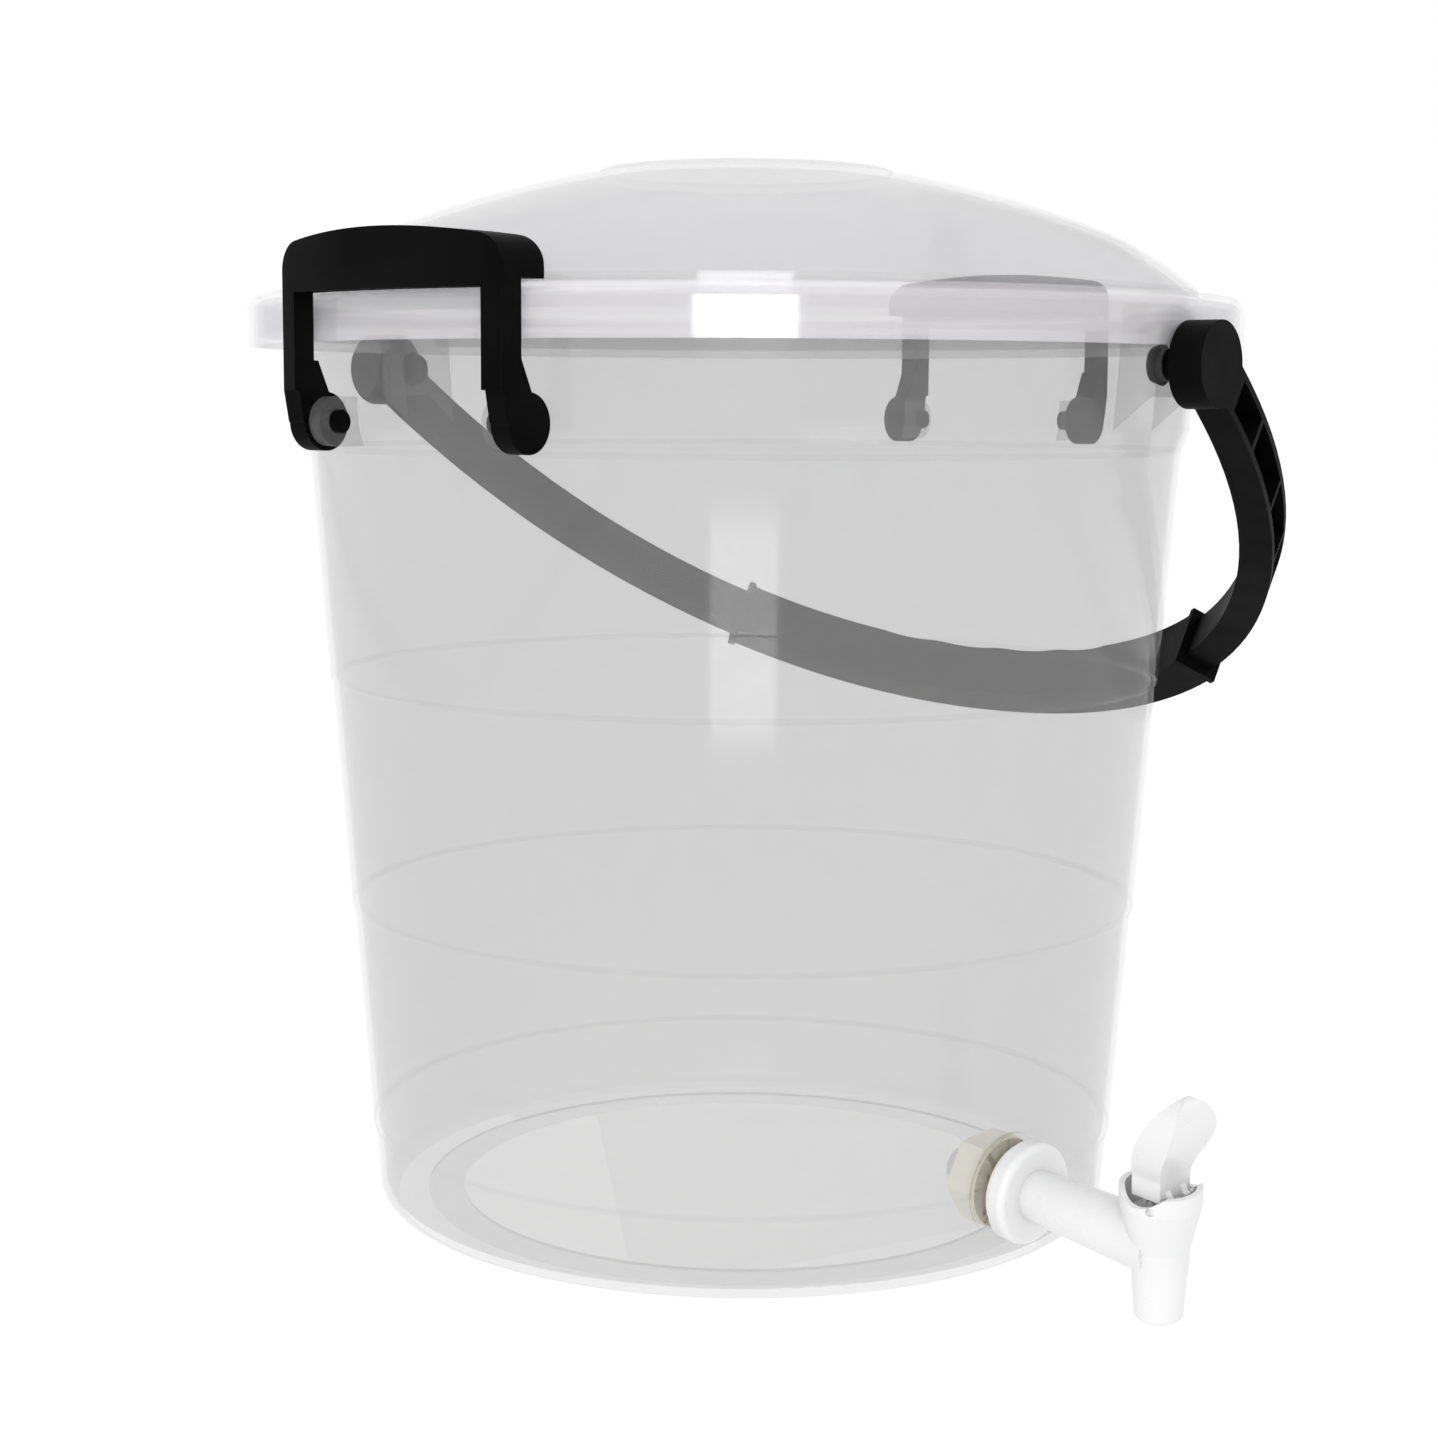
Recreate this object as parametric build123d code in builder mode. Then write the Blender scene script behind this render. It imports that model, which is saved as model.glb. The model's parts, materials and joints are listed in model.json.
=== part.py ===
"""Translucent bucket with a domed lid, two lid clips, a swinging handle and a lever tap.

Millimetres, +Z up. The origin is on the bucket's axis, on the surface that it stands on.
The handle's pivot pins lie along X, the lid clips stand at -Y (front) and +Y (rear), and the tap
looks out of the wall close to +X.
"""

import os
from math import acos, atan, cos, degrees, pi, radians, sin, sqrt

from build123d import *

os.makedirs("parts", exist_ok=True)

# Bucket wall
base_radius = 142.1
wall_flare = 0.0733
wall = 2.2
floor = 3.2
base_corner = 7.0
ring_first = 29.5
ring_count = 3
ring_rise = 1.0
ring_step = 0.8
collar_drop = 54.8
collar_rise = 9.0
collar_step = 2.4
bucket_height = 344.8
base_groove_inset = 25.1
base_groove_width = 14.0
base_groove_depth = 1.2

# Bucket rim
rim_width = 12.33
rim_thickness = 2.2
rim_drop = 12.8

# Lid
lid_wall = 2.2
skirt_wall = 2.0
skirt_gap = 1.5
skirt_drop = 16.3
lid_corner = 5.0
dome_foot_shift = 1.03
dome_foot_rise = 3.0
dome_rise = 47.5
dome_shoulder_inset = 41.0
dome_shoulder_rise = 24.2
dome_lower_bulge = 2.6
dome_upper_bulge = 1.8
crown_radius = 56.0
crown_step = 1.3
plug_depth = 6.0
plug_wall = 1.8
plug_clearance = 0.4

# Handle ears on the bucket
pivot_drop = 22.8
ear_inset = 2.0
ear_width = 30.0
ear_wall = 2.3
ear_drop = 11.0

# Handle
handle_side_gap = 1.75
handle_sag = 36.0
handle_squareness = 2.1
handle_hang = 36.0
arm_width = 17.6
arm_depth = 12.5
grip_half_length = 120.0
grip_width = 23.0
grip_depth = 16.4
grip_collar = 3.0
grip_collar_rise = 1.1
handle_skin = 2.6
rib_thickness = 2.4
rib_count = 19
finger_count = 4
finger_pitch = 30.0
finger_depth = 1.3
finger_ridge = 4.0
eye_radius = 15.0
eye_step_radius = 9.6
eye_step = 1.35
handle_pin_radius = 5.5
handle_pin_clearance = 0.08
snap_head_radius = 7.2
snap_head_length = 3.0
snap_gap = 0.4

# Lid clips
clip_pivot_inset = 10.0
clip_pivot_drop = 43.3
clip_half_width = 50.5
clip_arm = 7.5
clip_hook = 10.0
clip_depth = 8.6
clip_lid_gap = 0.4
clip_bar_drop = 2.5
clip_bar_rise = 13.0
clip_crown = 4.5
clip_corner = 10.0
clip_arm_rise = 10.5
clip_skin = 2.2
clip_rib = 2.4
clip_rib_count = 4
clip_foot_radius = 10.0
clip_pin_radius = 4.0
clip_pin_clearance = 0.06
clip_pin_stub = 2.0
lug_thickness = 5.1
lug_gap = 0.4
lug_radius = 8.5

# Tap: place on the wall
tap_bearing = -10.0
tap_height = 31.5
tap_roll = 6.0
pad_radius = 19.0
pad_outside = 1.2
pad_inside = 4.4

# Tap: inlet, flange and neck
inlet_radius = 7.5
inlet_clearance = 0.4
inlet_length = 27.5
inlet_tip_radius = 6.2
inlet_tip_length = 8.0
inlet_bore = 4.5
flange_radius = 18.5
flange_thickness = 6.5
flange_fillet = 2.5
neck_radius = 9.2
neck_end_radius = 11.2
washer_thickness = 2.4
washer_radius = 16.5
nut_thickness = 11.0
nut_radius = 17.0
nut_clearance = 0.1

# Tap: barrel and valve
barrel_reach = 65.5
spout_drop = 26.1
spout_radius = 8.2
spout_fillet = 1.6
waist_radius = 10.2
shoulder_rise = 16.0
shoulder_radius = 14.0
barrel_rise = 22.4
spout_bore = 5.6
seat_drop = 7.0
chamber_radius = 7.8
socket_floor = 9.0
socket_radius = 12.0
saddle_depth = 4.0
saddle_radius = 9.0
bonnet_thickness = 3.0
bonnet_clearance = 0.1
stem_radius = 2.0
stem_clearance = 0.06
cup_radius = 6.9
cup_height = 4.0
cup_lip = 1.2
bar_radius = 1.5
bar_half_length = 5.6
bar_height = 16.4

# Tap: lever
lever_pivot_out = 5.5
lever_pivot_height = 18.0
lever_pin_radius = 1.5
lever_pin_clearance = 0.08
lever_slot_clearance = 0.5
lever_lobe = 3.4
lever_cheek = 2.8
lever_cheek_gap = 2.6
lever_foot = 19.6
lever_waist_height = 27.0
lever_waist_half_width = 8.0
lever_half_width = 12.3
lever_top = 56.4
lever_widest = 44.0
lever_thickness = 12.0
lever_tip_thickness = 8.0
lever_lean = 9.0

# Heights that follow
collar_foot = bucket_height - collar_drop
collar_top = collar_foot + collar_rise
ring_pitch = (collar_foot - ring_first) / ring_count
wall_steps = [(ring_first + k * ring_pitch, ring_rise, ring_step) for k in range(ring_count)]
wall_steps.append((collar_foot, collar_rise, collar_step))
lid_top = bucket_height + lid_wall
skirt_bottom = bucket_height - skirt_drop
dome_foot_height = lid_top + dome_foot_rise
dome_shoulder_height = dome_foot_height + dome_shoulder_rise
dome_height = lid_top + dome_rise
rim_bottom = bucket_height - rim_drop
pivot_height = bucket_height - pivot_drop
ear_bottom = pivot_height - ear_drop
clip_pivot_height = bucket_height - clip_pivot_drop
clip_arm_bottom = clip_pivot_height + clip_arm_rise
clip_end_height = lid_top + clip_bar_rise
clip_top = clip_end_height + clip_crown


def wall_radius(height):
    """Outer radius of the bucket's wall at a height clear of the step rings."""
    grown = sum(growth for foot, rise, growth in wall_steps if height >= foot + rise)
    return base_radius + wall_flare * height + grown


def wall_line(inset, start):
    """Section points of the wall, moved in by inset, from the start height up to the rim."""
    radius = base_radius - inset
    points = [(radius + wall_flare * start, start)]
    for foot, rise, growth in wall_steps:
        points.append((radius + wall_flare * foot, foot))
        radius += growth
        points.append((radius + wall_flare * (foot + rise), foot + rise))
    points.append((radius + wall_flare * bucket_height, bucket_height))
    return points


# Radii that follow
base_groove_radius = base_radius - base_groove_inset
mouth_radius = wall_radius(bucket_height) - wall
collar_middle = wall_radius(collar_top) - wall / 2
rim_radius = wall_radius(bucket_height) + rim_width
skirt_radius = rim_radius + skirt_gap + skirt_wall
dome_foot_radius = mouth_radius + dome_foot_shift
dome_shoulder_radius = dome_foot_radius - dome_shoulder_inset
ear_reach = rim_radius - ear_inset
handle_span = skirt_radius + handle_side_gap + arm_depth / 2
handle_drop = handle_span + handle_sag
clip_pivot_reach = skirt_radius - clip_pivot_inset
clip_bar_inner = skirt_radius - clip_hook
clip_inner_radius = skirt_radius + clip_lid_gap
clip_outer_radius = clip_inner_radius + clip_depth


def upright(turn, shift=0.0):
    """Plane through the axis, seen with the turned outward direction as x and height as y."""
    return Plane.XZ.rotated((0, 0, turn)).offset(shift)


def level(height, turn=0.0):
    """Level plane at a height, with the turned outward direction as its x."""
    return Plane.XY.offset(height).rotated((0, 0, turn))


# Tap axes: out of the wall, up the barrel and across
wall_tilt = degrees(atan(wall_flare))
bearing_axis = Vector(1, 0, 0).rotate(Axis.Z, tap_bearing)
level_across = Vector(0, 1, 0).rotate(Axis.Z, tap_bearing)
tap_out = bearing_axis.rotate(Axis((0, 0, 0), level_across), wall_tilt)
tap_across = level_across.rotate(Axis((0, 0, 0), tap_out), tap_roll)
tap_plane = Plane(
    origin=bearing_axis * wall_radius(tap_height) + Vector(0, 0, tap_height),
    x_dir=tap_across,
    z_dir=tap_out,
)
tap_up = tap_plane.y_dir
barrel_centre = tap_plane.origin + tap_out * barrel_reach
barrel_plane = Plane(origin=barrel_centre, x_dir=tap_out, z_dir=tap_up)
barrel_side = Plane(origin=barrel_centre, x_dir=tap_out, z_dir=tap_out.cross(tap_up))
barrel_front = Plane(origin=barrel_centre, x_dir=tap_across, z_dir=tap_out)
tap_side = Plane(origin=tap_plane.origin, x_dir=tap_out, z_dir=tap_out.cross(tap_up))

# Bucket
with BuildPart() as bucket_shell:
    # Outer form of wall and base
    with BuildSketch(Plane.XZ) as outer_section:
        with BuildLine():
            Polyline((0, 0), *wall_line(0, 0), (0, bucket_height), close=True)
        make_face()
        fillet(outer_section.vertices().sort_by_distance((base_radius, 0))[0], base_corner)
    revolve(axis=Axis.Z)

    # Rim flange with its turned-down lip
    with BuildSketch(Plane.XZ) as rim_section:
        with BuildLine():
            Polyline(
                (mouth_radius, bucket_height),
                (rim_radius, bucket_height),
                (rim_radius, rim_bottom),
                (rim_radius - rim_thickness, rim_bottom),
                (rim_radius - rim_thickness, bucket_height - rim_thickness),
                (mouth_radius, bucket_height - rim_thickness),
                close=True,
            )
        make_face()
        rim_edge = rim_section.vertices().sort_by_distance((rim_radius, bucket_height))[0]
        fillet(rim_edge, lid_corner - skirt_wall)
    revolve(axis=Axis.Z)

    # Ears that carry the handle: a box open below, with cheeks that run down to the collar
    for turn in (0, 180):
        with BuildSketch(level(ear_bottom, turn)):
            with Locations(((collar_middle + ear_reach) / 2, 0)):
                Rectangle(ear_reach - collar_middle, ear_width)
            with Locations(((collar_middle + ear_reach) / 2 - ear_wall, 0)):
                Rectangle(ear_reach - collar_middle, ear_width - 2 * ear_wall, mode=Mode.SUBTRACT)
        extrude(amount=bucket_height - rim_thickness / 2 - ear_bottom)
        for shift in (ear_width / 2 - ear_wall, -ear_width / 2):
            with BuildSketch(upright(turn, shift)):
                with BuildLine():
                    Polyline(
                        (collar_middle, collar_top),
                        (collar_middle, ear_bottom),
                        (ear_reach, ear_bottom),
                        close=True,
                    )
                make_face()
            extrude(amount=ear_wall)

    # Lugs that carry the clips
    for turn in (-90, 90):
        lug_inner = clip_half_width - clip_arm - lug_gap - lug_thickness
        for shift in (lug_inner, -lug_inner - lug_thickness):
            with BuildSketch(upright(turn, shift)):
                with Locations(((collar_middle + clip_pivot_reach) / 2 - collar_step * 2, clip_pivot_height)):
                    Rectangle(clip_pivot_reach - collar_middle + collar_step * 4, 2 * lug_radius)
                with Locations((clip_pivot_reach, clip_pivot_height)):
                    Circle(lug_radius)
                    Circle(clip_pin_radius + clip_pin_clearance, mode=Mode.SUBTRACT)
            extrude(amount=lug_thickness)

    # Inside of the bucket
    with BuildSketch(Plane.XZ) as inner_section:
        with BuildLine():
            Polyline((0, floor), *wall_line(wall, floor), (0, bucket_height), close=True)
        make_face()
        floor_corner = (base_radius - wall + wall_flare * floor, floor)
        fillet(inner_section.vertices().sort_by_distance(floor_corner)[0], base_corner - wall)
    revolve(axis=Axis.Z, mode=Mode.SUBTRACT)

    # Groove in the underside
    with BuildSketch(Plane.XZ):
        with Locations((base_groove_radius, base_groove_depth / 2)):
            Rectangle(base_groove_width, base_groove_depth)
    revolve(axis=Axis.Z, mode=Mode.SUBTRACT)

    # Flat pad and hole for the tap
    with BuildSketch(tap_plane.offset(-pad_inside)):
        Circle(pad_radius)
    extrude(amount=pad_inside + pad_outside)
    with BuildSketch(tap_plane.offset(-pad_inside)):
        Circle(inlet_radius + inlet_clearance)
    extrude(amount=pad_inside + pad_outside, mode=Mode.SUBTRACT)

    # Pivot holes in the ears
    for turn in (0, 180):
        with BuildSketch(Plane.YZ.rotated((0, 0, turn)).offset(ear_reach - 2 * ear_wall)):
            with Locations((0, pivot_height)):
                Circle(handle_pin_radius + handle_pin_clearance)
        extrude(amount=3 * ear_wall, mode=Mode.SUBTRACT)

bucket_shell.part.label = "bucket_shell"
export_step(bucket_shell.part, "parts/bucket_shell.step")


def arc_middle(start, end, bulge):
    """Point raised by the bulge above the middle between two points."""
    return ((start[0] + end[0]) / 2, (start[1] + end[1]) / 2 + bulge)


def lid_section(radius, top, foot, shoulder, crown, corner):
    """Half section inside one of the lid's skins, down to the skirt's bottom edge."""
    with BuildSketch() as section:
        with BuildLine():
            Polyline(crown, (0, crown[1]), (0, skirt_bottom), (radius, skirt_bottom))
            Polyline((radius, skirt_bottom), (radius, top), (foot[0], top), foot)
            ThreePointArc(foot, arc_middle(foot, shoulder, dome_lower_bulge), shoulder)
            ThreePointArc(shoulder, arc_middle(shoulder, crown, dome_upper_bulge), crown)
        make_face()
        fillet(section.vertices().sort_by_distance((radius, top))[0], corner)
    return section.sketch


outer_skin = lid_section(
    skirt_radius,
    lid_top,
    (dome_foot_radius, dome_foot_height),
    (dome_shoulder_radius, dome_shoulder_height),
    (crown_radius, dome_height),
    lid_corner,
)
inner_skin = lid_section(
    skirt_radius - skirt_wall,
    bucket_height,
    (dome_foot_radius - lid_wall, dome_foot_height - lid_wall),
    (dome_shoulder_radius - lid_wall / 2, dome_shoulder_height - lid_wall),
    (crown_radius, dome_height - lid_wall),
    lid_corner - skirt_wall,
)

# Lid
with BuildPart() as lid:
    # Outer skin with the raised crown
    with BuildSketch(Plane.XZ):
        add(outer_skin)
    revolve(axis=Axis.Z)
    with BuildSketch(Plane.XZ) as crown_section:
        with Locations((crown_radius / 2, dome_height + crown_step / 2 - lid_wall / 4)):
            Rectangle(crown_radius, crown_step + lid_wall / 2)
        crown_edge = crown_section.vertices().sort_by_distance((crown_radius, dome_height + crown_step))[0]
        fillet(crown_edge, crown_step)
    revolve(axis=Axis.Z)

    # Inner skin
    with BuildSketch(Plane.XZ):
        add(inner_skin)
    revolve(axis=Axis.Z, mode=Mode.SUBTRACT)

    # Plug ring that enters the bucket's mouth
    plug_radius = mouth_radius - wall_flare * plug_depth - plug_clearance
    plug_top = dome_foot_height
    with BuildSketch(Plane.XZ):
        with Locations((plug_radius - plug_wall / 2, (bucket_height - plug_depth + plug_top) / 2)):
            Rectangle(plug_wall, plug_top - bucket_height + plug_depth)
    revolve(axis=Axis.Z)

lid.part.label = "lid"
export_step(lid.part, "parts/lid.step")

# Handle
hang = radians(handle_hang)
handle_plane = Plane(origin=(0, 0, pivot_height), x_dir=(1, 0, 0), z_dir=(0, sin(hang), cos(hang)))
bow_steps = 24


def bow_point(extra, angle):
    """Point of the handle's curve, moved out by extra, at an angle from the pivot line."""
    power = 2 / handle_squareness
    across = (handle_span + extra) * abs(cos(angle)) ** power
    down = (handle_drop + extra) * abs(sin(angle)) ** power
    return (across if cos(angle) >= 0 else -across, down)


def bow_band(inner, outer, first=0.0, last=pi):
    """Face between two offsets of the handle's curve, from the first angle to the last."""
    angles = [first + (last - first) * k / bow_steps for k in range(bow_steps + 1)]
    outside = [bow_point(outer, angle) for angle in angles]
    inside = [bow_point(inner, angle) for angle in angles]
    with BuildSketch() as band:
        with BuildLine():
            Spline(*outside)
            Spline(*inside)
            Line(outside[0], inside[0])
            Line(outside[-1], inside[-1])
        make_face()
    return band.sketch


grip_start = acos((grip_half_length / handle_span) ** (handle_squareness / 2))
collar_turn = grip_collar / handle_span
channel_start = grip_start + 2 * collar_turn
eye_turn = eye_radius / handle_drop
finger_turn = finger_pitch / handle_span
wave_turn = (finger_pitch - finger_ridge) / handle_span
collar_reach = grip_depth / 2 + grip_collar_rise
arm_web = handle_skin - arm_depth / 2
grip_web = handle_skin - grip_depth / 2
arm_band = bow_band(-arm_depth / 2, arm_depth / 2)
grip_band = bow_band(-grip_depth / 2, grip_depth / 2, grip_start, pi - grip_start)
collar_bands = [
    bow_band(-collar_reach, collar_reach, start, start + collar_turn)
    for start in (grip_start, pi - grip_start - collar_turn)
]
channel_bands = [
    (arm_width / 2, bow_band(arm_web, grip_depth, eye_turn, grip_start - collar_turn)),
    (arm_width / 2, bow_band(arm_web, grip_depth, pi - grip_start + collar_turn, pi - eye_turn)),
    (grip_width / 2, bow_band(grip_web, grip_depth, channel_start, pi - channel_start)),
]

with BuildPart() as handle:
    # Arms
    with BuildSketch(handle_plane):
        add(arm_band)
    extrude(amount=arm_width / 2, both=True)

    # Grip and its end collars
    with BuildSketch(handle_plane):
        add(grip_band)
    extrude(amount=grip_width / 2, both=True)
    with BuildSketch(handle_plane):
        add(collar_bands)
    extrude(amount=grip_width / 2 + grip_collar_rise, both=True)

    # Finger waves on the inner side of the grip
    with BuildSketch(handle_plane):
        for k in range(finger_count):
            middle = pi / 2 + (k - (finger_count - 1) / 2) * finger_turn
            wave_start = bow_point(-grip_depth / 2, middle - wave_turn / 2)
            wave_middle = bow_point(finger_depth - grip_depth / 2, middle)
            wave_end = bow_point(-grip_depth / 2, middle + wave_turn / 2)
            with BuildLine():
                ThreePointArc(wave_start, wave_middle, wave_end)
                Line(wave_end, wave_start)
            make_face()
    extrude(amount=grip_width, both=True, mode=Mode.SUBTRACT)

    # Channel along the outer side, crossed by ribs
    for half_width, channel in channel_bands:
        with BuildSketch(handle_plane):
            add(channel)
            for k in range(rib_count):
                angle = pi * (k + 1) / (rib_count + 1)
                with Locations(Location(bow_point(0, angle), degrees(angle))):
                    Rectangle(3 * grip_depth, rib_thickness, mode=Mode.SUBTRACT)
        extrude(amount=half_width - handle_skin, both=True, mode=Mode.SUBTRACT)

    # Eyes and snap pins
    for turn in (0, 180):
        eye_face = handle_span - arm_depth / 2
        snap_face = ear_reach - ear_wall - snap_gap
        with BuildSketch(Plane.YZ.rotated((0, 0, turn)).offset(eye_face)):
            with Locations((0, pivot_height)):
                Circle(eye_radius)
        extrude(amount=arm_depth)
        with BuildSketch(Plane.YZ.rotated((0, 0, turn)).offset(eye_face - eye_step)):
            with Locations((0, pivot_height)):
                Circle(eye_step_radius)
        extrude(amount=eye_step)
        with BuildSketch(Plane.YZ.rotated((0, 0, turn)).offset(snap_face)):
            with Locations((0, pivot_height)):
                Circle(handle_pin_radius)
        extrude(amount=eye_face - snap_face)
        with BuildSketch(Plane.YZ.rotated((0, 0, turn)).offset(snap_face)):
            with Locations((0, pivot_height)):
                Circle(snap_head_radius)
        extrude(amount=-snap_head_length, taper=20)

handle.part.label = "handle"
export_step(handle.part, "parts/handle.step")

# Lid clips
hook_underside = lid_top + clip_lid_gap
window_top = lid_top - clip_bar_drop
window_half = clip_half_width - clip_arm
rib_pitch = 2 * window_half / (clip_rib_count + 1)

for name, turn in (("clip_front", -90), ("clip_rear", 90)):
    with BuildPart() as clip:
        # Curved wall outside the skirt and hook over the lid's rim
        for bottom, inner in ((clip_arm_bottom, clip_inner_radius), (hook_underside, clip_bar_inner)):
            with BuildSketch(level(bottom, turn)):
                Circle(clip_outer_radius)
                Circle(inner, mode=Mode.SUBTRACT)
                with Locations((clip_outer_radius / 2, 0)):
                    Rectangle(clip_outer_radius, 2 * clip_half_width, mode=Mode.INTERSECT)
            extrude(amount=clip_top - bottom)

        # Outline seen from the front: crowned bar between two arms
        with BuildSketch(Plane.YZ.rotated((0, 0, turn))) as portal:
            with BuildLine():
                Polyline(
                    (clip_half_width, clip_end_height),
                    (clip_half_width, clip_arm_bottom),
                    (-clip_half_width, clip_arm_bottom),
                    (-clip_half_width, clip_end_height),
                )
                ThreePointArc(
                    (-clip_half_width, clip_end_height), (0, clip_top), (clip_half_width, clip_end_height)
                )
            make_face()
            fillet(portal.vertices().group_by(Axis.Y)[-1], clip_corner)
            with BuildLine():
                Polyline(
                    (window_half, clip_arm_bottom),
                    (window_half, window_top),
                    (-window_half, window_top),
                    (-window_half, clip_arm_bottom),
                    close=True,
                )
            make_face(mode=Mode.SUBTRACT)
        extrude(amount=clip_outer_radius, mode=Mode.INTERSECT)

        # Hollow under the bar, crossed by ribs
        with BuildSketch(level(window_top, turn)):
            Circle(clip_outer_radius - clip_skin)
            Circle(clip_inner_radius + clip_skin, mode=Mode.SUBTRACT)
            with Locations((clip_outer_radius / 2, 0)):
                Rectangle(clip_outer_radius, 2 * window_half, mode=Mode.INTERSECT)
            with Locations((clip_outer_radius, 0)):
                with GridLocations(0, rib_pitch, 1, clip_rib_count):
                    Rectangle(clip_outer_radius, clip_rib, mode=Mode.SUBTRACT)
        extrude(amount=clip_end_height - clip_skin - clip_corner / 2 - window_top, mode=Mode.SUBTRACT)

        # Feet that curl in under the skirt to the pivot, with their pins
        arm_inside = sqrt(clip_inner_radius**2 - clip_half_width**2)
        arm_outside = sqrt(clip_outer_radius**2 - clip_half_width**2)
        foot_top = clip_arm_bottom + clip_foot_radius
        for shift in (window_half, -clip_half_width):
            with BuildSketch(upright(turn, shift)):
                with BuildLine():
                    Polyline(
                        (arm_inside, foot_top),
                        (arm_outside, foot_top),
                        (arm_outside, clip_arm_bottom),
                        (arm_outside - clip_foot_radius / 5, clip_pivot_height),
                        (clip_pivot_reach, clip_pivot_height - clip_foot_radius),
                        (clip_pivot_reach - clip_foot_radius / 3, clip_arm_bottom - clip_foot_radius / 2),
                        close=True,
                    )
                make_face()
                with Locations((clip_pivot_reach, clip_pivot_height)):
                    Circle(clip_foot_radius)
            extrude(amount=clip_arm)
        pin_length = lug_gap + lug_thickness + clip_pin_stub
        for shift in (window_half - pin_length, -window_half):
            with BuildSketch(upright(turn, shift)):
                with Locations((clip_pivot_reach, clip_pivot_height)):
                    Circle(clip_pin_radius)
            extrude(amount=pin_length)

    clip.part.label = name
    export_step(clip.part, "parts/" + name + ".step")

# Tap body
flange_back = pad_outside + washer_thickness
flange_front = flange_back + flange_thickness
with BuildPart() as tap_body:
    # Inlet, flange and neck, turned about the tap's axis
    with BuildSketch(tap_side) as turned:
        with BuildLine():
            Polyline(
                (-inlet_length, 0),
                (-inlet_length, inlet_tip_radius),
                (inlet_tip_length - inlet_length, inlet_tip_radius),
                (inlet_tip_length - inlet_length, inlet_radius),
                (flange_back, inlet_radius),
                (flange_back, flange_radius),
                (flange_front, flange_radius),
                (flange_front, neck_radius),
                (barrel_reach, neck_end_radius),
                (barrel_reach, 0),
                close=True,
            )
        make_face()
        fillet(turned.vertices().sort_by_distance((flange_front, flange_radius))[0], flange_fillet)
    revolve(axis=Axis(tap_plane.origin, tap_out))

    # Barrel with its shoulder and spout
    with BuildSketch(barrel_side) as barrel:
        with BuildLine():
            Polyline(
                (0, barrel_rise),
                (0, -spout_drop),
                (spout_radius, -spout_drop),
                (waist_radius, 0),
                (shoulder_radius, shoulder_rise),
                (shoulder_radius, barrel_rise),
                close=True,
            )
        make_face()
        fillet(barrel.vertices().sort_by_distance((spout_radius, -spout_drop))[0], spout_fillet)
    revolve(axis=Axis(barrel_centre, tap_up))

    # Spout bore, valve chamber and socket for the bonnet
    for start, stop, radius in (
        (-spout_drop, -seat_drop, spout_bore),
        (-seat_drop, socket_floor, chamber_radius),
        (socket_floor, barrel_rise, socket_radius),
    ):
        with BuildSketch(barrel_plane.offset(start)):
            Circle(radius)
        extrude(amount=stop - start, mode=Mode.SUBTRACT)

    # Waterway through the inlet and neck
    with BuildSketch(tap_plane.offset(-inlet_length)):
        Circle(inlet_bore)
    extrude(amount=inlet_length + barrel_reach, mode=Mode.SUBTRACT)

    # Saddle that the lever swings through, and holes for its pin
    with BuildSketch(barrel_side):
        with BuildLine():
            ThreePointArc(
                (-saddle_radius, barrel_rise), (0, barrel_rise - saddle_depth), (saddle_radius, barrel_rise)
            )
            Line((saddle_radius, barrel_rise), (-saddle_radius, barrel_rise))
        make_face()
    extrude(amount=shoulder_radius, both=True, mode=Mode.SUBTRACT)
    with BuildSketch(barrel_side):
        with Locations((lever_pivot_out, lever_pivot_height)):
            Circle(lever_pin_radius)
    extrude(amount=shoulder_radius, both=True, mode=Mode.SUBTRACT)

tap_body.part.label = "tap_body"
export_step(tap_body.part, "parts/tap_body.step")

# Washers and nut
for name, start, inner in (
    ("flange_washer", pad_outside, inlet_radius + inlet_clearance),
    ("inner_washer", -pad_inside - washer_thickness, inlet_radius + inlet_clearance),
):
    with BuildPart() as washer:
        with BuildSketch(tap_plane.offset(start)):
            Circle(washer_radius)
            Circle(inner, mode=Mode.SUBTRACT)
        extrude(amount=washer_thickness)
    washer.part.label = name
    export_step(washer.part, "parts/" + name + ".step")

with BuildPart() as tap_nut:
    with BuildSketch(tap_plane.offset(-pad_inside - washer_thickness - nut_thickness)):
        RegularPolygon(nut_radius, 6)
        Circle(inlet_radius + nut_clearance, mode=Mode.SUBTRACT)
    extrude(amount=nut_thickness)

tap_nut.part.label = "tap_nut"
export_step(tap_nut.part, "parts/tap_nut.step")

# Bonnet that closes the chamber and guides the stem
with BuildPart() as tap_bonnet:
    with BuildSketch(barrel_plane.offset(socket_floor)):
        Circle(socket_radius - bonnet_clearance)
        Circle(stem_radius + stem_clearance, mode=Mode.SUBTRACT)
    extrude(amount=bonnet_thickness)

tap_bonnet.part.label = "tap_bonnet"
export_step(tap_bonnet.part, "parts/tap_bonnet.step")

# Stem with the cross bar that the lever lifts
with BuildPart() as valve_stem:
    with BuildSketch(barrel_plane.offset(cup_height - seat_drop)):
        Circle(stem_radius)
    extrude(amount=bar_height - cup_height + seat_drop)
    with BuildSketch(barrel_side):
        with Locations((0, bar_height)):
            Circle(bar_radius)
    extrude(amount=bar_half_length, both=True)

valve_stem.part.label = "valve_stem"
export_step(valve_stem.part, "parts/valve_stem.step")

# Silicone cup that closes the seat
with BuildPart() as seat_cup:
    with BuildSketch(barrel_side):
        with BuildLine():
            Polyline(
                (0, cup_height - seat_drop),
                (stem_radius + cup_lip, cup_height - seat_drop),
                (cup_radius, cup_lip - seat_drop),
                (cup_radius, -seat_drop),
                (0, -seat_drop),
                close=True,
            )
        make_face()
    revolve(axis=Axis(barrel_centre, tap_up))

seat_cup.part.label = "seat_cup"
export_step(seat_cup.part, "parts/seat_cup.step")

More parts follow.
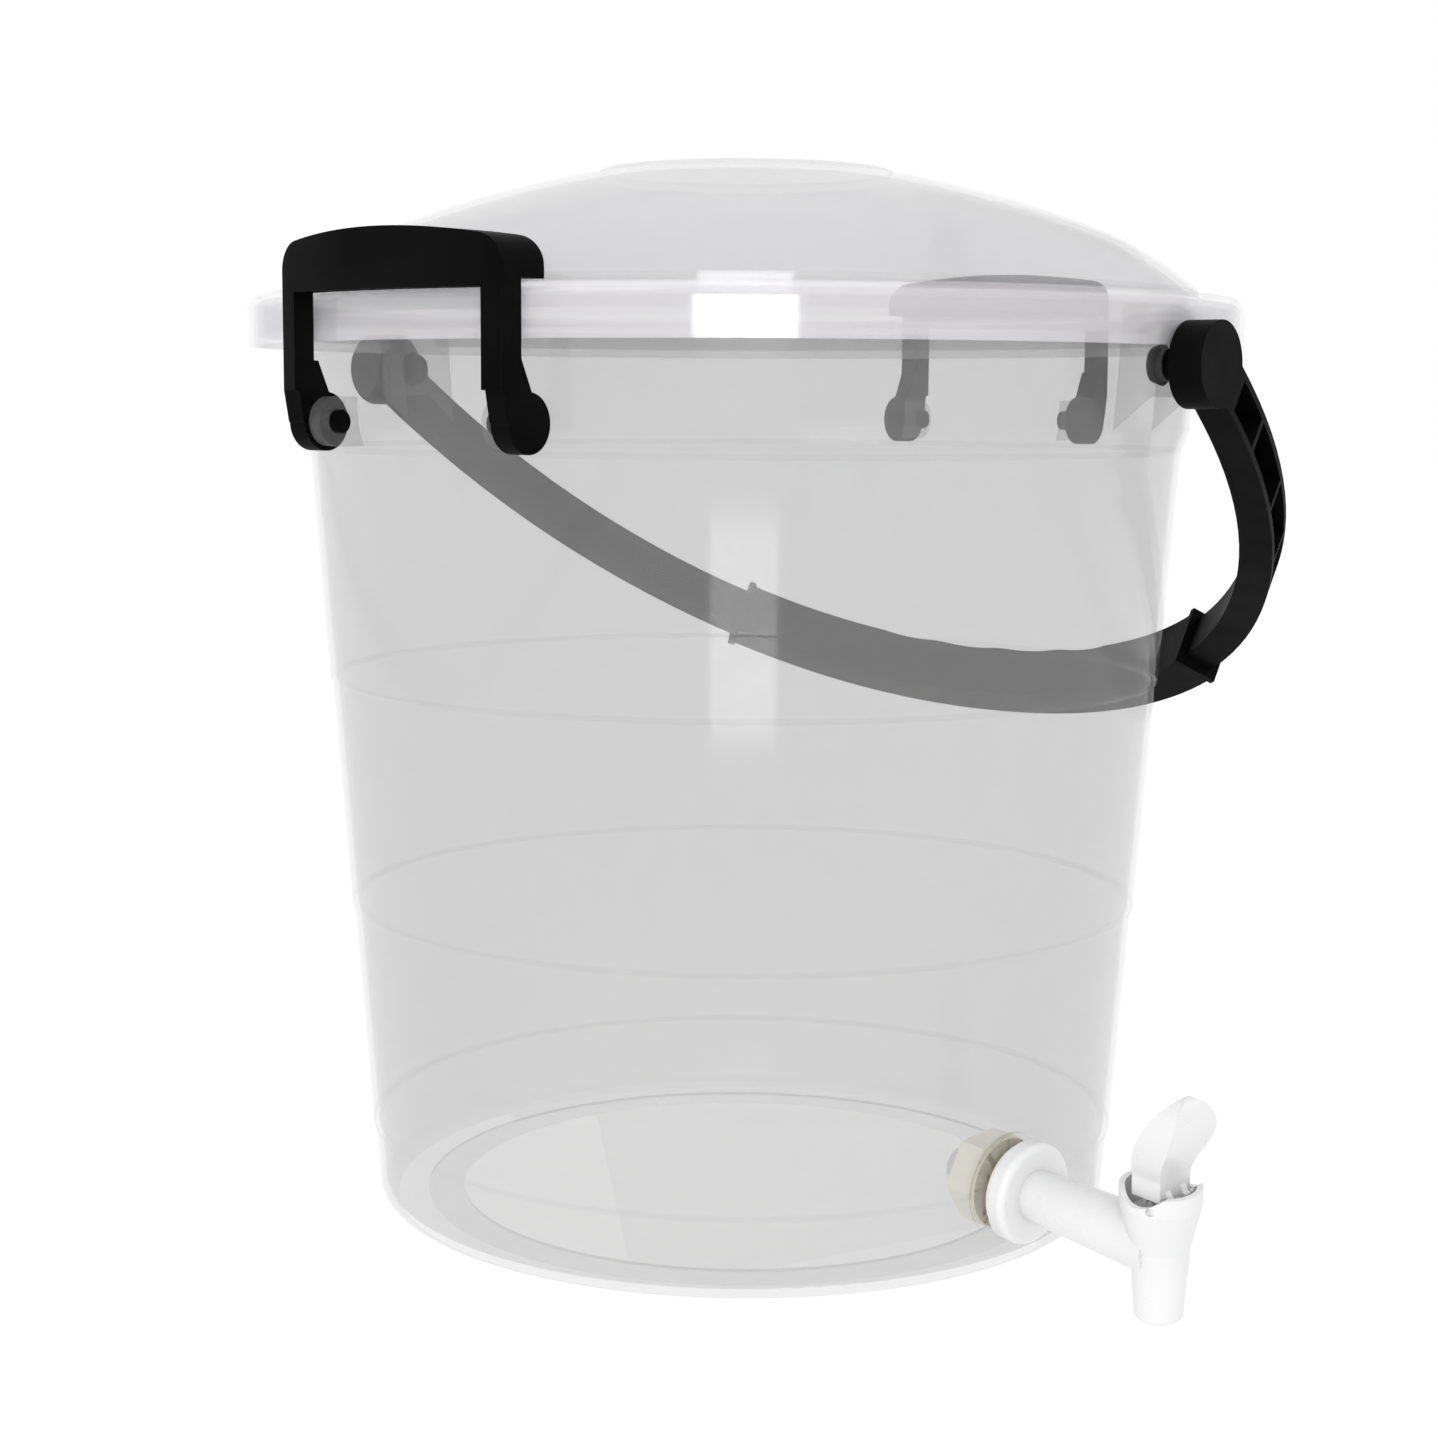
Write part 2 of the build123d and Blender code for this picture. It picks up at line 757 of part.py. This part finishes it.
# Lever
with BuildPart() as tap_lever:
    # Side outline: upright waist, paddle leaning outward
    with BuildSketch(barrel_side):
        half = lever_thickness / 2
        tip = lever_tip_thickness / 2
        with BuildLine():
            Spline(
                (-half, lever_foot),
                (-half, lever_waist_height),
                (lever_lean / 2 - tip, lever_widest),
                (lever_lean, lever_top),
                tangents=((0, 1), (1, 1)),
            )
            Spline(
                (half, lever_foot),
                (half, lever_waist_height),
                (lever_lean + tip, lever_widest),
                (lever_lean + tip, lever_top - tip),
                (lever_lean, lever_top),
                tangents=((0, 1), (-1, 0)),
            )
            Line((-half, lever_foot), (half, lever_foot))
        make_face()
    extrude(amount=lever_half_width, both=True)

    # Front outline: waist widening to a rounded paddle
    with BuildSketch(barrel_front):
        with BuildLine():
            Spline(
                (lever_waist_half_width, lever_foot),
                (lever_waist_half_width, lever_waist_height),
                (lever_half_width, lever_widest),
                (0, lever_top),
                (-lever_half_width, lever_widest),
                (-lever_waist_half_width, lever_waist_height),
                (-lever_waist_half_width, lever_foot),
                tangents=((0, 1), (0, -1)),
            )
            Line((-lever_waist_half_width, lever_foot), (lever_waist_half_width, lever_foot))
        make_face()
    extrude(amount=2 * lever_half_width, both=True, mode=Mode.INTERSECT)

    # Cheeks with the pivot hole and the slot round the stem's bar
    for shift in (lever_cheek_gap, -lever_cheek_gap - lever_cheek):
        with BuildSketch(barrel_side.offset(shift)):
            with BuildLine():
                Polyline(
                    (-lever_lobe, bar_height),
                    (-lever_lobe, lever_foot + lever_lobe),
                    (lever_thickness / 2, lever_foot + lever_lobe),
                    (lever_pivot_out + lever_lobe, lever_pivot_height),
                    (lever_pivot_out, lever_pivot_height - lever_lobe),
                    (0, bar_height - lever_lobe),
                    close=True,
                )
            make_face()
            with Locations((lever_pivot_out, lever_pivot_height), (0, bar_height)):
                Circle(lever_lobe)
            with Locations((lever_pivot_out, lever_pivot_height)):
                Circle(lever_pin_radius + lever_pin_clearance, mode=Mode.SUBTRACT)
            with Locations((0, bar_height)):
                Circle(bar_radius + lever_slot_clearance, mode=Mode.SUBTRACT)
        extrude(amount=lever_cheek)

tap_lever.part.label = "tap_lever"
export_step(tap_lever.part, "parts/tap_lever.step")

# Pin that carries the lever
with BuildPart() as lever_pin:
    pin_half = sqrt(shoulder_radius**2 - (lever_pivot_out + lever_pin_radius) ** 2)
    with BuildSketch(barrel_side):
        with Locations((lever_pivot_out, lever_pivot_height)):
            Circle(lever_pin_radius)
    extrude(amount=pin_half, both=True)

lever_pin.part.label = "lever_pin"
export_step(lever_pin.part, "parts/lever_pin.step")
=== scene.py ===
import json
import math

import bpy
from mathutils import Matrix, Vector

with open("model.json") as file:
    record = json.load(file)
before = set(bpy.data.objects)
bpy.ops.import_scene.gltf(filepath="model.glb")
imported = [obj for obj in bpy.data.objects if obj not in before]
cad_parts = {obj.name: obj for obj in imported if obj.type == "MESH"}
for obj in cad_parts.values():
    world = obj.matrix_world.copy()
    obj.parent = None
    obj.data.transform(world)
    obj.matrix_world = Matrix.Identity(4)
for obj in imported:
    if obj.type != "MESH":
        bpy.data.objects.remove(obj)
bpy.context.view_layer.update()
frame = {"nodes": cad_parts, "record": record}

nodes = frame["nodes"]

# Camera of the photograph: metres in the object's frame, degrees, and millimetres for the lens
CAMERA_SPOT = Vector((0.6005, -0.7784, 0.3085))
CAMERA_TURN = 38.2
CAMERA_PITCH = 7.13
CAMERA_ROLL = 0.275
CAMERA_LENS = 63.34
SENSOR_WIDTH = 36.0

# Light
WORLD_STRENGTH = 1.0
FLOOR_GLOW = 1.02
FLOOR_HALF_WIDTH = 12.0
SEE_THROUGH_BOUNCES = 12
LIGHT_BOUNCES = 1
KEY_SPOT = (0.2, -2.4, 2.2)
KEY_AIM = (0, 0, 0.2)
KEY_SIDE = 1.2
KEY_POWER = 14
WINDOW_SPOT = (0.977, -1.267, 0.31)
WINDOW_AIM = (0, 0, 0.3)
WINDOW_WIDTH = 0.6
WINDOW_HEIGHT = 0.26
WINDOW_POWER = 5

# Share of light that one face of the translucent mouldings holds back
BUCKET_VEIL = 0.185
LID_VEIL = 0.26

# Step rings of the wall, in metres: foot of the first ring, pitch, and width of the painted shade line that
# stands in for the light bent at each step
RING_FIRST = 0.0295
RING_PITCH = 0.08683
RING_BAND = 0.0022
# Extra veil in each painted shade line, which stands in for the light bent at the ring's step
RING_PAINTED_SHADE = 0.035

# Height at which the lid's skirt ends and its dome starts, in metres
SKIRT_TOP = 0.3465

# Colours, each as a darker and a lighter tone that the surface drifts between
BUCKET_TONES = ((0.26, 0.26, 0.262), (0.30, 0.298, 0.295))
LID_TONES = ((0.49, 0.48, 0.51), (0.55, 0.54, 0.56))
SKIRT_COLOUR = (0.90, 0.88, 0.92)
BLACK_TONES = ((0.001, 0.001, 0.001), (0.003, 0.003, 0.003))
WHITE_TONES = ((0.74, 0.74, 0.745), (0.77, 0.77, 0.77))
CREAM_TONES = ((0.92, 0.89, 0.78), (0.95, 0.93, 0.85))
WASHER_TONES = ((0.88, 0.82, 0.66), (0.92, 0.86, 0.72))
SILICONE_TONES = ((0.78, 0.76, 0.72), (0.82, 0.8, 0.76))
SHEET_DRIFT = 5.0
SOLID_DRIFT = 25.0

# Surface of the plastics
SHEET_ROUGHNESS = 0.08
ROUGHNESS_SPREAD = 0.05
ROUGHNESS_DRIFT = 60.0
PLASTIC_SHINE = 0.5


def new_material(name):
    """Empty node material with its Principled shader."""
    material = bpy.data.materials.new(name)
    material.use_nodes = True
    return material, material.node_tree.nodes["Principled BSDF"]


def link_noise(material, scale, detail):
    """Object-space noise texture node."""
    tree = material.node_tree
    place = tree.nodes.new("ShaderNodeTexCoord")
    noise = tree.nodes.new("ShaderNodeTexNoise")
    noise.inputs["Scale"].default_value = scale
    noise.inputs["Detail"].default_value = detail
    tree.links.new(place.outputs["Object"], noise.inputs["Vector"])
    return noise


def vary_roughness(material, shader, low, high, scale):
    """Roughness that wanders between low and high over the surface."""
    tree = material.node_tree
    noise = link_noise(material, scale, 3.0)
    spread = tree.nodes.new("ShaderNodeMapRange")
    spread.inputs["From Min"].default_value = 0.3
    spread.inputs["From Max"].default_value = 0.7
    spread.inputs["To Min"].default_value = low
    spread.inputs["To Max"].default_value = high
    tree.links.new(noise.outputs["Fac"], spread.inputs["Value"])
    tree.links.new(spread.outputs["Result"], shader.inputs["Roughness"])


def add_bump(material, shader, scale, distance):
    """Fine unevenness of a moulded face."""
    tree = material.node_tree
    noise = link_noise(material, scale, 2.0)
    bump = tree.nodes.new("ShaderNodeBump")
    bump.inputs["Distance"].default_value = distance
    tree.links.new(noise.outputs["Fac"], bump.inputs["Height"])
    tree.links.new(bump.outputs["Normal"], shader.inputs["Normal"])


def vary_colour(material, shader, tones, scale):
    """Base colour that drifts between two close tones."""
    dark, light = tones
    tree = material.node_tree
    noise = link_noise(material, scale, 1.0)
    ramp = tree.nodes.new("ShaderNodeValToRGB")
    ramp.color_ramp.elements[0].position = 0.35
    ramp.color_ramp.elements[0].color = (*dark, 1)
    ramp.color_ramp.elements[1].position = 0.65
    ramp.color_ramp.elements[1].color = (*light, 1)
    tree.links.new(noise.outputs["Fac"], ramp.inputs["Fac"])
    tree.links.new(ramp.outputs["Color"], shader.inputs["Base Color"])


def calculate(material, operation, first, second):
    """Math node on two inputs, each a socket or a number."""
    tree = material.node_tree
    node = tree.nodes.new("ShaderNodeMath")
    node.operation = operation
    for place, value in zip(node.inputs, (first, second)):
        if isinstance(value, (int, float)):
            place.default_value = value
        else:
            tree.links.new(value, place)
    return node.outputs["Value"]


def height_of(material):
    """Height in the object's space."""
    tree = material.node_tree
    place = tree.nodes.new("ShaderNodeTexCoord")
    split = tree.nodes.new("ShaderNodeSeparateXYZ")
    tree.links.new(place.outputs["Object"], split.inputs["Vector"])
    return split.outputs["Z"]


def milky_sheet(name, tones, veil):
    """Translucent moulding: each face is a thin milky veil that lets the rest show through."""
    material, shader = new_material(name)
    vary_colour(material, shader, tones, SHEET_DRIFT)
    shader.inputs["Roughness"].default_value = SHEET_ROUGHNESS
    shader.inputs["Specular IOR Level"].default_value = 1.0
    shader.inputs["Alpha"].default_value = veil
    return material, shader


def bucket_sheet():
    """Bucket's plastic, denser in a narrow band above each step ring: a painted shade line that stands in
    for the light bent at the step.
    """
    material, shader = milky_sheet("bucket_milky", BUCKET_TONES, BUCKET_VEIL)
    above_first = calculate(material, "SUBTRACT", height_of(material), RING_FIRST)
    rise = calculate(material, "FRACT", calculate(material, "DIVIDE", above_first, RING_PITCH), 0.0)
    # Painted shade line: the veil is made thicker in a narrow band above each ring's foot
    painted_ring_line = calculate(material, "LESS_THAN", rise, RING_BAND / RING_PITCH)
    veil_with_painted_rings = calculate(material, "ADD", calculate(material, "MULTIPLY", painted_ring_line, RING_PAINTED_SHADE), BUCKET_VEIL)
    material.node_tree.links.new(veil_with_painted_rings, shader.inputs["Alpha"])
    return material


def lid_sheet():
    """Lid's plastic, whiter on the skirt than on the dome."""
    material, shader = milky_sheet("lid_milky", LID_TONES, LID_VEIL)
    tree = material.node_tree
    below = calculate(material, "LESS_THAN", height_of(material), SKIRT_TOP)
    whiter = tree.nodes.new("ShaderNodeMixRGB")
    tree.links.new(below, whiter.inputs["Fac"])
    tree.links.new(shader.inputs["Base Color"].links[0].from_socket, whiter.inputs["Color1"])
    whiter.inputs["Color2"].default_value = (*SKIRT_COLOUR, 1)
    tree.links.new(whiter.outputs["Color"], shader.inputs["Base Color"])
    return material


def solid_plastic(name, tones, rough, grain, grain_depth, shine=PLASTIC_SHINE):
    """Opaque moulded plastic or rubber with a fine grain."""
    material, shader = new_material(name)
    shader.inputs["Specular IOR Level"].default_value = shine
    vary_colour(material, shader, tones, SOLID_DRIFT)
    vary_roughness(material, shader, rough - ROUGHNESS_SPREAD, rough + ROUGHNESS_SPREAD, ROUGHNESS_DRIFT)
    add_bump(material, shader, grain, grain_depth)
    return material


def dress_nodes():
    """Give each node of the part the finish of its material slot."""
    finishes = {
        "bucket_plastic": bucket_sheet(),
        "lid_plastic": lid_sheet(),
        "black_plastic": solid_plastic("black_moulding", BLACK_TONES, 0.55, 300.0, 0.00002, 0.04),
        "tap_plastic": solid_plastic("white_moulding", WHITE_TONES, 0.3, 200.0, 0.00005),
        "cream_plastic": solid_plastic("cream_moulding", CREAM_TONES, 0.4, 200.0, 0.0001),
        "cream_rubber": solid_plastic("cream_washer", WASHER_TONES, 0.6, 400.0, 0.0001),
        "seal_rubber": solid_plastic("seal_silicone", SILICONE_TONES, 0.5, 400.0, 0.0001),
    }
    for part in frame["record"]["subparts"]:
        for slot in nodes[part["node"]].material_slots:
            slot.material = finishes[part["material_slot"]]


def build_camera():
    """Camera at the photograph's place, turned, pitched and rolled."""
    turn, pitch, roll = (math.radians(a) for a in (CAMERA_TURN, CAMERA_PITCH, CAMERA_ROLL))
    forward = Vector((-math.sin(turn) * math.cos(pitch), math.cos(turn) * math.cos(pitch), -math.sin(pitch)))
    right = forward.cross(Vector((0, 0, 1))).normalized()
    above = right.cross(forward)
    right_rolled = right * math.cos(roll) + above * math.sin(roll)
    above_rolled = above * math.cos(roll) - right * math.sin(roll)
    lens = bpy.data.cameras.new("photo_camera")
    lens.sensor_width = SENSOR_WIDTH
    lens.lens = CAMERA_LENS
    camera = bpy.data.objects.new("photo_camera", lens)
    turned = Matrix((right_rolled, above_rolled, -forward)).transposed().to_4x4()
    camera.matrix_world = Matrix.Translation(CAMERA_SPOT) @ turned
    bpy.context.scene.collection.objects.link(camera)
    bpy.context.scene.camera = camera


def build_floor():
    """Plain white ground, as burnt out as in the photograph."""
    half = FLOOR_HALF_WIDTH
    mesh = bpy.data.meshes.new("floor")
    corners = [(-half, -half, 0), (half, -half, 0), (half, half, 0), (-half, half, 0)]
    mesh.from_pydata(corners, [], [(0, 1, 2, 3)])
    floor = bpy.data.objects.new("floor", mesh)
    material, shader = new_material("floor_white")
    shader.inputs["Base Color"].default_value = (0, 0, 0, 1)
    shader.inputs["Roughness"].default_value = 0.9
    shader.inputs["Specular IOR Level"].default_value = 0.0
    shader.inputs["Emission Color"].default_value = (1, 1, 1, 1)
    shader.inputs["Emission Strength"].default_value = FLOOR_GLOW
    mesh.materials.append(material)
    bpy.context.scene.collection.objects.link(floor)


def add_light(name, spot, target, width, height, power):
    """Soft rectangular light that points at a target."""
    lamp = bpy.data.lights.new(name, "AREA")
    lamp.shape = "RECTANGLE"
    lamp.size = width
    lamp.size_y = height
    lamp.energy = power
    light = bpy.data.objects.new(name, lamp)
    light.location = spot
    light.rotation_euler = (Vector(target) - Vector(spot)).to_track_quat("-Z", "Y").to_euler()
    bpy.context.scene.collection.objects.link(light)


def build_light():
    """White surroundings, a soft box above and the window behind the camera that the plastic mirrors."""
    world = bpy.data.worlds.new("white_room")
    world.use_nodes = True
    sky = world.node_tree.nodes["Background"]
    sky.inputs["Color"].default_value = (1, 1, 1, 1)
    sky.inputs["Strength"].default_value = WORLD_STRENGTH
    scene = bpy.context.scene
    scene.world = world
    scene.view_settings.view_transform = "Standard"
    scene.cycles.transparent_max_bounces = SEE_THROUGH_BOUNCES
    scene.cycles.max_bounces = LIGHT_BOUNCES
    add_light("key", KEY_SPOT, KEY_AIM, KEY_SIDE, KEY_SIDE, KEY_POWER)
    add_light("window", WINDOW_SPOT, WINDOW_AIM, WINDOW_WIDTH, WINDOW_HEIGHT, WINDOW_POWER)


dress_nodes()
build_camera()
build_floor()
build_light()
